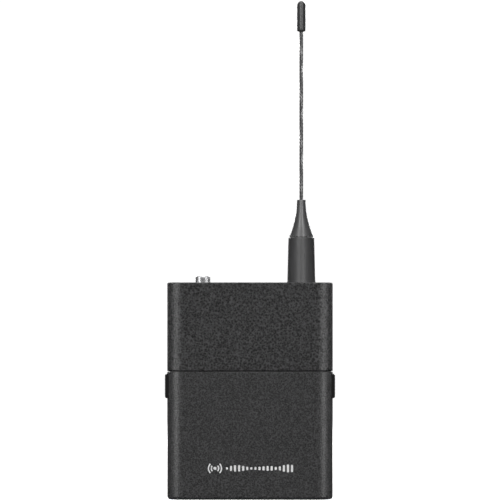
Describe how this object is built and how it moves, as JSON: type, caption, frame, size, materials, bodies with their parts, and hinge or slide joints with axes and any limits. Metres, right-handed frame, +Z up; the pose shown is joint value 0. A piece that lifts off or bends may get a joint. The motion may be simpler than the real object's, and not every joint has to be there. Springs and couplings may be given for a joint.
{
  "type": "wireless bodypack transmitter",
  "caption": "Compact belt-worn wireless microphone transmitter with a hinged battery cover, side latches, a whip antenna, a locking jack and a wire belt clip.",
  "frame": {"origin": "middle of the flat base that the pack stands on", "axes": "+X across the front face to the antenna side, +Y to the back where the belt clip is, +Z up along the antenna"},
  "size_m": [0.0658, 0.0269, 0.1928],
  "materials": {
    "upper_plastic": "black moulded plastic with a coarse grain",
    "cover_plastic": "black moulded plastic with a fine grain",
    "rear_plastic": "black moulded plastic with a fine grain",
    "inner_plastic": "plain black plastic",
    "latch_plastic": "smooth satin black plastic",
    "button_plastic": "dark grey satin plastic",
    "switch_steel": "tinned steel",
    "lens": "clear moulded light pipe",
    "silver_metal": "bright nickel plating",
    "spring_steel": "bright spring wire",
    "contact_metal": "nickel-plated pressed strip",
    "cell_jacket": "printed sleeve over a steel can",
    "board_laminate": "green solder mask",
    "shield_metal": "tinned sheet",
    "chip_plastic": "black epoxy",
    "antenna_plastic": "satin black hard plastic",
    "antenna_rubber": "smooth black rubber",
    "antenna_brass": "turned",
    "whip_wire": "black stranded wire",
    "tip_plastic": "glossy black",
    "clip_wire": "satin black coated spring wire",
    "screw_steel": "black oxide",
    "label_film": "blank grey film",
    "foam": "closed-cell foam"
  },
  "bodies": {
    "housing": {"front_shell": "upper_plastic", "rear_shell": "rear_plastic", "battery_tray": "inner_plastic", "mute_switch_body": "inner_plastic", "jack_socket": "inner_plastic", "button_switches": "switch_steel", "link_led_lens": "lens", "data_led_lens": "lens", "jack_collar": "silver_metal", "jack_nut": "silver_metal", "antenna_nut": "silver_metal", "hinge_pins": "spring_steel", "contact_spring_upper": "spring_steel", "contact_spring_lower": "spring_steel", "contact_plus": "contact_metal", "contact_minus": "contact_metal", "contact_bridge": "contact_metal", "battery_cell_upper": "cell_jacket", "battery_cell_lower": "cell_jacket", "main_board": "board_laminate", "rf_shield": "shield_metal", "board_components": "chip_plastic", "antenna_sleeve": "antenna_plastic", "antenna_boot": "antenna_rubber", "antenna_collar": "antenna_rubber", "antenna_core": "antenna_brass", "antenna_whip": "whip_wire", "antenna_tip": "tip_plastic", "housing_screws": "screw_steel", "tray_screws": "screw_steel", "board_screws": "screw_steel", "rating_label": "label_film"},
    "cover": {"battery_cover": "cover_plastic", "battery_pad": "foam", "latch_spring_left": "spring_steel", "latch_spring_right": "spring_steel"},
    "belt_clip": {"belt_clip": "clip_wire"},
    "check_button": {"check_button": "button_plastic"},
    "latch_left": {"latch_left": "latch_plastic"},
    "latch_right": {"latch_right": "latch_plastic"},
    "mute_slider": {"mute_slider": "button_plastic"},
    "power_button": {"power_button": "button_plastic"},
    "sync_button": {"sync_button": "button_plastic"}
  },
  "joints": [
    {"name": "cover_hinge", "type": "hinge", "parent": "housing", "child": "cover", "pos_m": [0, -0.0066, 0.0026], "axis": [1, 0, 0], "range_deg": [0, 95]},
    {"name": "latch_left_press", "type": "slide", "parent": "cover", "child": "latch_left", "axis": [1, 0, 0], "range_m": [0, 0.0012], "stiffness_N_per_m": 800, "springref_m": -0.0008, "deforming": ["latch_spring_left"]},
    {"name": "latch_right_press", "type": "slide", "parent": "cover", "child": "latch_right", "axis": [-1, 0, 0], "range_m": [0, 0.0012], "stiffness_N_per_m": 800, "springref_m": -0.0008, "deforming": ["latch_spring_right"]},
    {"name": "mute_slide", "type": "slide", "parent": "housing", "child": "mute_slider", "axis": [1, 0, 0], "range_m": [0, 0.0025]},
    {"name": "clip_swing", "type": "hinge", "parent": "housing", "child": "belt_clip", "pos_m": [0, 0.0124, 0.071], "axis": [1, 0, 0], "range_deg": [0, 18], "stiffness_Nm_per_rad": 0.5, "springref_deg": -11.46},
    {"name": "power_press", "type": "slide", "parent": "housing", "child": "power_button", "axis": [0, 1, 0], "range_m": [0, 0.0004], "stiffness_N_per_m": 1500, "springref_m": -0.0003},
    {"name": "sync_press", "type": "slide", "parent": "housing", "child": "sync_button", "axis": [0, 1, 0], "range_m": [0, 0.0004], "stiffness_N_per_m": 1500, "springref_m": -0.0003},
    {"name": "check_press", "type": "slide", "parent": "housing", "child": "check_button", "axis": [0, 1, 0], "range_m": [0, 0.0004], "stiffness_N_per_m": 1500, "springref_m": -0.0003}
  ]
}
